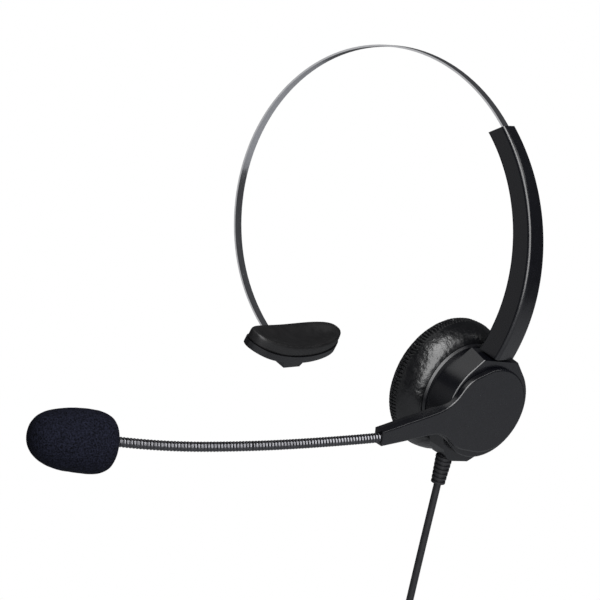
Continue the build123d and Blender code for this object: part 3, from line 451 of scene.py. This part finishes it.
def neck_piece(name, start, end):
    """The ringed tube between two distances, with closed ends."""
    steps = int(round((end - start) / RING_PITCH * RING_STEPS))
    points = []
    for step in range(steps + 1):
        distance = start + (end - start) * step / steps
        centre, along = neck_point(distance)
        across = UPWARD.cross(along).normalized()
        upward = along.cross(across)
        wave = 0.5 + 0.5 * cos(2 * pi * distance / RING_PITCH)
        radius = (TUBE_R - RING_H + RING_H * wave ** RING_ROUND) * MM
        for angle in angles(NECK_AROUND):
            points.append(centre + (across * cos(angle) + upward * sin(angle)) * radius)
    faces = ring_faces(steps + 1, NECK_AROUND)
    faces += [first_cap(NECK_AROUND), ring_cap(steps * NECK_AROUND, NECK_AROUND)]
    return mesh_object(name, points, faces, "gooseneck_metal")


NECK_NODES = ("gooseneck_root", "gooseneck_1", "gooseneck_2", "gooseneck_3")
NECK_BODIES = ("boom", "neck_1", "neck_2", "neck_3")
half = SEGMENT_L / 2
cuts = (-ROOT_IN_ARM, half, 3 * half, 5 * half, 3 * SEGMENT_L + TUBE_IN_MIC)
for index, node in enumerate(NECK_NODES):
    piece = neck_piece(f"neck_tube_{index + 1}", cuts[index], cuts[index + 1])
    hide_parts(node)
    if node == NECK_NODES[-1]:
        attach(piece, NECK_BODIES[-1])
    else:
        # The first joint is at the arm's tip, where the tube inside the arm is straight. These pieces are
        # only baked in place; none is bent at its joints.
        before = BLEND_REACH if index else 0
        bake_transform(piece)

# ---------------------------------------------------------------- windscreen
FOAM_L = 34.2
FOAM_R = 12.3
FOAM_WAIST = 12.15               # its radius a third of the way along
FOAM_DROP = 1.3                  # how far the foam sags below the tube
FOAM_HOLE_R = TUBE_R + 0.25
FOAM_AROUND = 120
CHEEK_STEPS, NOSE_STEPS = 26, 34
# Round its mouth, up to MOUTH_L along, the foam holds on to the tube: it starts to sag at SAG_START_R
# and sags fully SAG_OVER further out.
SAG_START_R, SAG_OVER, MOUTH_L = 2.5, 4.0, 8.0
SWELL = ((0.28, 90), (0.10, 420))
SWELL_FULL_R = 4.0

mic_along = directions[3]
mic_across = UPWARD.cross(mic_along).normalized()
mic_up = mic_along.cross(mic_across)
# The outline is radius and distance along the tube, from inside the hole to the tip of the nose.
waist = (FOAM_WAIST, FOAM_L * 0.34)
hole = [(FOAM_HOLE_R, 5.0), (FOAM_HOLE_R, 2.4)]
cheek = bezier((TUBE_R + 0.35, 0.9), (FOAM_R * 0.72, -0.3), (FOAM_R, FOAM_L * 0.06), waist, CHEEK_STEPS)
nose = bezier(waist, (FOAM_R, FOAM_L * 0.80), (FOAM_R * 0.66, FOAM_L), (0.02, FOAM_L), NOSE_STEPS)
profile = hole + cheek + nose[1:]
points = []
for radius, height in profile:
    sag = min(max((radius - SAG_START_R) / SAG_OVER, 0), 1) if height < MOUTH_L else 1
    for angle in angles(FOAM_AROUND):
        outward = mic_across * cos(angle) + mic_up * sin(angle)
        place = joints[3] + (mic_along * height + outward * radius - mic_up * (FOAM_DROP * sag)) * MM
        swell = layered_noise(place, SWELL) * min(radius / SWELL_FULL_R, 1)
        points.append(place + outward * (swell * MM))
windscreen = mesh_object("foam_windscreen", points, ring_faces(len(profile), FOAM_AROUND), "foam")
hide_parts("windscreen")
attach(windscreen, "neck_3")

# ---------------------------------------------------------------- ear cushion
# Its section is radius and depth in the cup's frame: the skin from the cup's rim, over the outside
# and the soft face, down into the ear hole, and then its seat on the cup's back ring.
SKIN = [(22.3, 16.9), (24.0, 17.7), (25.8, 19.5), (27.3, 21.9), (28.3, 24.4), (28.8, 26.8), (28.95, 28.6),
        (28.4, 30.4), (26.9, 31.7), (24.6, 32.4), (22.0, 32.5), (19.4, 32.1), (17.2, 31.2), (15.7, 29.8),
        (14.8, 28.0), (14.5, 26.0), (14.5, 23.6)]
SEAT = [(14.6, 22.0), (18.8, 22.0), (18.8, 18.2), (22.2, 18.2)]
SKIN_STEPS = 6
CUSHION_AROUND = 960
RIM_R = 24.0                     # the outside of the cushion starts here
SEAM_DEPTH, SEAM_GROOVE, SEAM_WIDTH = 28.4, 0.42, 0.45
PLEATS, PLEAT_GROOVE, PLEAT_WIDTH = 116, 1.5, 0.40
PLEAT_OUT, PLEAT_IN = 2.2, 1.9   # how far the pleats reach from the seam, outward and inward
PLEAT_TALL, PLEAT_VARIES = 0.75, ((0.35, 24.0),)
PLEAT_WANDER = ((0.9, 6.0), (0.5, 17.0))
WANDER_DEPTH = 0.08
DENTS = ((0.10, 1.0), (0.05, 2.7))
DENTS_AROUND, DENTS_DEPTH = 5.0, 0.18
HOLE_RIM_R, HOLE_PLEATS, HOLE_GROOVE, HOLE_WIDTH = 16.2, 31, 0.10, 0.4


def cushion_lift(radius, depth, angle):
    """How far the skin stands out at a place: gathered pleats, the seam and soft dents."""
    place = Vector((cos(angle), sin(angle), depth * WANDER_DEPTH))
    wander = layered_noise(place, PLEAT_WANDER)
    lift = 0.0
    if radius > RIM_R:
        gap = depth - SEAM_DEPTH
        rim = exp(-(gap / (PLEAT_OUT if gap < 0 else PLEAT_IN)) ** 4)
        tall = PLEAT_TALL + layered_noise(place, PLEAT_VARIES)
        wave = sin(PLEATS * angle / 2 + wander)
        lift -= PLEAT_GROOVE * tall * exp(-(wave / PLEAT_WIDTH) ** 2) * rim
        lift -= SEAM_GROOVE * exp(-(gap / SEAM_WIDTH) ** 2)
    soft = Vector((cos(angle) * DENTS_AROUND, sin(angle) * DENTS_AROUND, depth * DENTS_DEPTH))
    lift += layered_noise(soft, DENTS)
    if radius < HOLE_RIM_R:
        lift -= HOLE_GROOVE * exp(-(sin(HOLE_PLEATS * angle + wander) / HOLE_WIDTH) ** 2)
    return lift


skin = smooth_line(SKIN, SKIN_STEPS)
section = skin + SEAT
points = []
for index, (radius, depth) in enumerate(section):
    before, after = section[max(index - 1, 0)], section[min(index + 1, len(section) - 1)]
    run = Vector((after[0] - before[0], after[1] - before[1])).normalized()
    for angle in angles(CUSHION_AROUND):
        lift = cushion_lift(radius, depth, angle) if index < len(skin) else 0
        reach = radius + run.y * lift
        points.append(cup_point(reach * cos(angle), reach * sin(angle), depth - run.x * lift))
faces = ring_faces(len(section), CUSHION_AROUND, closed=True)
cushion = mesh_object("leather_cushion", points, faces, "leatherette")
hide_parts("ear_cushion")
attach(cushion, "ear_cup")

# ---------------------------------------------------------------- cloth over the earphone
# Radius and depth from the middle of its back, round its edge, to the middle of its domed face
DOME = [(0.05, 22.0), (13.9, 22.0), (14.35, 22.1), (14.35, 22.45), (13.9, 22.7), (11.0, 22.95), (7.0, 23.15),
        (3.0, 23.25), (0.05, 23.28)]
CLOTH_AROUND = 72
FACE_DEPTH = 22.4
CREASE, CREASE_SCALE, CREASE_SLICE = 0.07, 0.25, 3.0

points = []
for radius, depth in DOME:
    for angle in angles(CLOTH_AROUND):
        spread = radius * CREASE_SCALE
        crease = CREASE * noise.noise(Vector((cos(angle) * spread, sin(angle) * spread, CREASE_SLICE)))
        face_depth = depth + (crease if depth > FACE_DEPTH else 0)
        points.append(cup_point(radius * cos(angle), radius * sin(angle), face_depth))
cloth = mesh_object("ear_cloth", points, ring_faces(len(DOME), CLOTH_AROUND), "scrim_cloth")
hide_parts("scrim")
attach(cloth, "ear_cup")

# ---------------------------------------------------------------- temple cushion
PAD_L, PAD_H, PAD_T = 58.0, 18.6, 5.0
PAD_BEND = 125.0                 # the radius that it curves to along its length
FULLNESS = 2.4                   # the power of its rounded outline, where 2 is an ellipse
PAD_REACH, PAD_LEAN = 65.0, radians(-137)
PAD_TILT = radians(-148)
PAD_AROUND = 220
# Inset from the outline and depth, from the side on the carrier to the middle of the dished face
PAD_LAYERS = [(1.0, PAD_T - 0.05), (0.5, PAD_T - 0.05), (0.05, PAD_T - 0.3), (0.0, PAD_T - 1.0),
              (-0.05, PAD_T / 2), (0.0, 1.5), (0.12, 0.9), (0.42, 0.42), (0.9, 0.12), (1.6, -0.02),
              (2.6, 0.10), (4.0, 0.55), (5.6, 1.05), (7.2, 1.40), (8.4, 1.55), (9.1, 1.60)]
pad_origin = mm(PAD_REACH * sin(PAD_LEAN), 0, PAD_REACH * cos(PAD_LEAN) - BAND_R)
pad_normal = -Vector((sin(PAD_TILT), 0, cos(PAD_TILT)))
pad_long = Vector((0, 1, 0))
pad_high = pad_normal.cross(pad_long)


def pad_point(along, high, depth):
    """A point of the curved pad, in millimetres."""
    inward = PAD_BEND - sqrt((PAD_BEND + depth) ** 2 - along ** 2)
    return pad_origin + (pad_long * along + pad_high * high + pad_normal * inward) * MM


def outline_reach(share, size, inset):
    """How far the outline reaches along one axis, with the sign of its share of a circle."""
    reach = (size / 2 - inset) * abs(share) ** (2 / FULLNESS)
    return reach if share > 0 else -reach


points = []
for inset, depth in PAD_LAYERS:
    for angle in angles(PAD_AROUND):
        along = outline_reach(cos(angle), PAD_L, inset)
        high = outline_reach(sin(angle), PAD_H, inset)
        points.append(pad_point(along, high, depth))
faces = ring_faces(len(PAD_LAYERS), PAD_AROUND) + [first_cap(PAD_AROUND)]
# The last ring is a narrow slot, so quads across it close the face.
slot_start = (len(PAD_LAYERS) - 1) * PAD_AROUND
slot_end = slot_start + PAD_AROUND - 1
for k in range(PAD_AROUND // 2 - 1):
    faces.append((slot_start + k, slot_start + k + 1, slot_end - k - 1, slot_end - k))
temple = mesh_object("rubber_pad", points, faces, "soft_rubber")
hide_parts("temple_cushion")
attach(temple, "temple_pad")

# ---------------------------------------------------------------- light
# Each light's place, width and height in metres, and watts. All of them face the band's centre.
LIGHTS = {
    "light_key": ((0.52, -0.46, 0.60), (0.50, 0.36), 7),
    "light_left": ((-0.70, -0.94, 0.05), (0.5, 0.9), 0.7),
    "light_right": ((1.0, -0.72, 0.06), (0.9, 1.3), 30),
    "light_above": ((-0.35, -0.15, 0.85), (0.6, 0.6), 1.2),
    "light_rim": ((0.78, 0.1, 0.42), (0.9, 0.2), 2),
}
ROOM_COLOUR, ROOM_STRENGTH = (0.93, 0.95, 1, 1), 0.07
BACKDROP_COLOUR, BACKDROP_STRENGTH = (1, 1, 1, 1), 1.0

for name, (place, size, power) in LIGHTS.items():
    light_data = bpy.data.lights.new(name, "AREA")
    light_data.shape = "RECTANGLE"
    light_data.size, light_data.size_y = size
    light_data.energy = power
    lamp = add_object(name, light_data)
    lamp.location = place
    lamp.rotation_euler = (Vector(place) - target).to_track_quat("Z", "Y").to_euler()

# The room is dim, so that the dark plastic keeps its contrast, and only its backdrop is white.
world = bpy.data.worlds.new("studio")
world.use_nodes = True
nodes, links = world.node_tree.nodes, world.node_tree.links
room = nodes["Background"]
room.inputs["Color"].default_value = ROOM_COLOUR
room.inputs["Strength"].default_value = ROOM_STRENGTH
backdrop = nodes.new("ShaderNodeBackground")
backdrop.inputs["Color"].default_value = BACKDROP_COLOUR
backdrop.inputs["Strength"].default_value = BACKDROP_STRENGTH
path = nodes.new("ShaderNodeLightPath")
choose = nodes.new("ShaderNodeMixShader")
links.new(path.outputs["Is Camera Ray"], choose.inputs["Fac"])
links.new(room.outputs["Background"], choose.inputs[1])
links.new(backdrop.outputs["Background"], choose.inputs[2])
links.new(choose.outputs["Shader"], nodes["World Output"].inputs["Surface"])
bpy.context.scene.world = world

# ---------------------------------------------------------------- floor
FLOOR_R = 0.8
FLOOR_Y, FLOOR_Z = -0.05, -0.372
FLOOR_SIDES = 96

pale_floor = surface("pale_floor", (0.46, 0.47, 0.49), (0.48, 0.49, 0.51), (0.9, 1.0),
                     grain=60, bump=0.02, depth=1e-4, specular=0.0)
floor_data = bpy.data.meshes.new("floor")
edge = [(FLOOR_R * cos(angle), FLOOR_R * sin(angle) + FLOOR_Y, FLOOR_Z) for angle in angles(FLOOR_SIDES)]
floor_data.from_pydata(edge, [], [ring_cap(0, FLOOR_SIDES)])
floor_data.materials.append(pale_floor)
floor = add_object("floor", floor_data)
